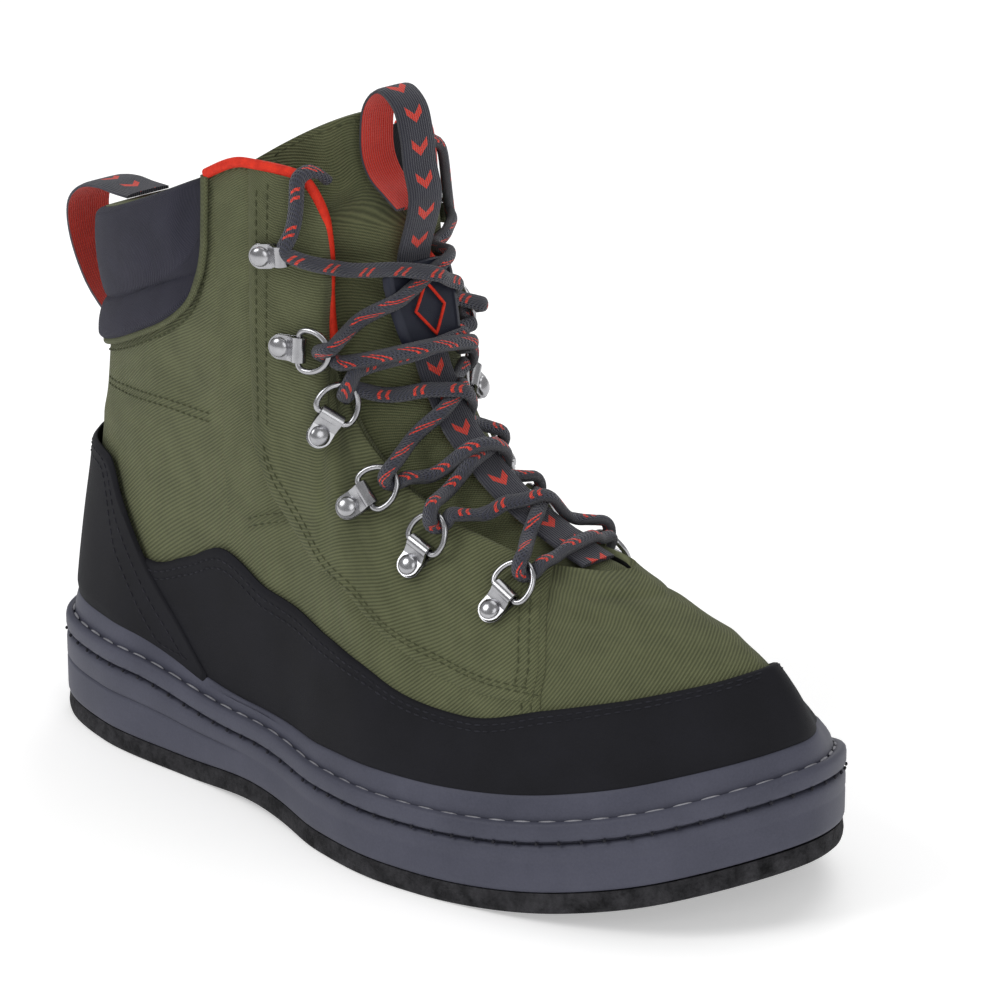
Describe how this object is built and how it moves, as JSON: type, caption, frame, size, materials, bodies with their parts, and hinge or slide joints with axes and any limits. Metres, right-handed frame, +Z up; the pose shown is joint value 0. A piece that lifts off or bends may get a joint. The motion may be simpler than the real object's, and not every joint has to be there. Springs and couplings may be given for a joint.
{
  "type": "wading boot",
  "caption": "Right wading boot: felt outsole, rubber midsole and welt, hollow laced twill upper with rand, padded collar, tongue with pull loop, heel tab and D-ring clips",
  "frame": {"origin": "on the floor under the middle of the heel, at the flat face heel_rest", "axes": "+X to the toe, +Y to the boot's left, which is the wearer's inner side, +Z up"},
  "size_m": [0.3181, 0.1299, 0.2417],
  "materials": {
    "felt": "needled charcoal felt",
    "rubber": "matt grey-blue rubber",
    "twill": "olive twill",
    "nubuck": "black nubuck",
    "navy": "navy ribbed mesh",
    "webbing": "navy webbing with a red face inside",
    "steel": "polished steel",
    "cord": "navy round cord with red flecks",
    "foam": "dark insole cloth over foam"
  },
  "bodies": {
    "root": {"felt_outsole": "felt", "midsole": "rubber", "welt": "rubber", "insole": "foam", "upper": "twill", "rand": "nubuck", "heel_counter": "nubuck", "collar_cuff": "navy", "eyestay_outer": "twill", "eyestay_inner": "twill", "tongue": "twill", "tongue_strap": "webbing", "heel_tab": "webbing", "lace_hook_outer": "steel", "lace_hook_inner": "steel", "lace_clip_outer_1": "steel", "lace_clip_outer_2": "steel", "lace_clip_outer_3": "steel", "lace_clip_outer_4": "steel", "lace_clip_outer_5": "steel", "lace_clip_inner_1": "steel", "lace_clip_inner_2": "steel", "lace_clip_inner_3": "steel", "lace_clip_inner_4": "steel", "lace_clip_inner_5": "steel", "d_ring_outer_1": "steel", "d_ring_outer_2": "steel", "d_ring_outer_3": "steel", "d_ring_outer_4": "steel", "d_ring_outer_5": "steel", "d_ring_inner_1": "steel", "d_ring_inner_2": "steel", "d_ring_inner_3": "steel", "d_ring_inner_4": "steel", "d_ring_inner_5": "steel", "lace": "cord"}
  },
  "joints": []
}
